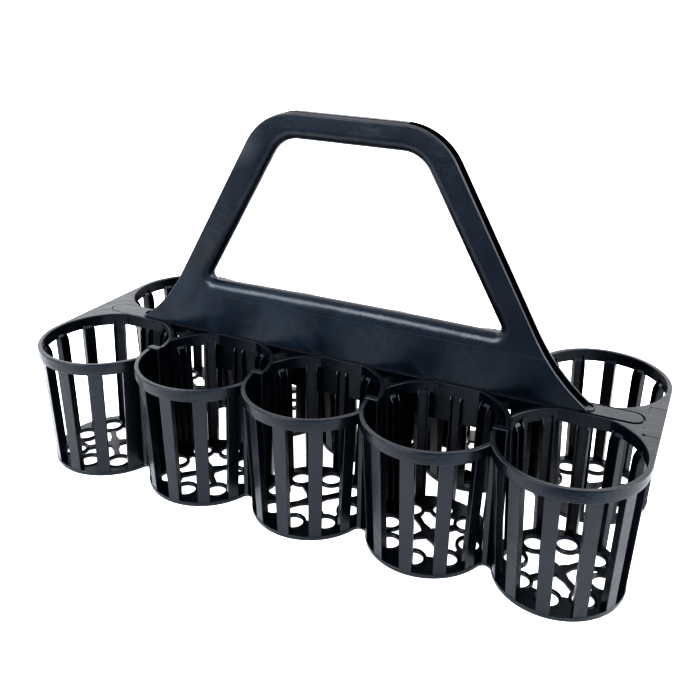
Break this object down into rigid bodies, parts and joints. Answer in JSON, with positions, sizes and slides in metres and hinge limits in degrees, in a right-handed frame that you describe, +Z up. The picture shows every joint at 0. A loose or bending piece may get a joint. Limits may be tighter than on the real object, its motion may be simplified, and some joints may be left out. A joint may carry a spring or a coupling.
{
  "type": "bottle carrier",
  "caption": "Moulded plastic bottle carrier: two rows of slatted cups with pierced floors, joined at their rims, and a central spine that rises into a trapezoidal grip.",
  "frame": {"origin": "on the ground, under the middle of the carrier", "axes": "+X along the rows of cups, +Y across the two rows, +Z up"},
  "size_m": [0.45, 0.201, 0.268],
  "materials": {
    "black_plastic": "satin to semi-gloss black moulded polypropylene"
  },
  "bodies": {
    "root": {"carrier": "black_plastic"}
  },
  "joints": []
}
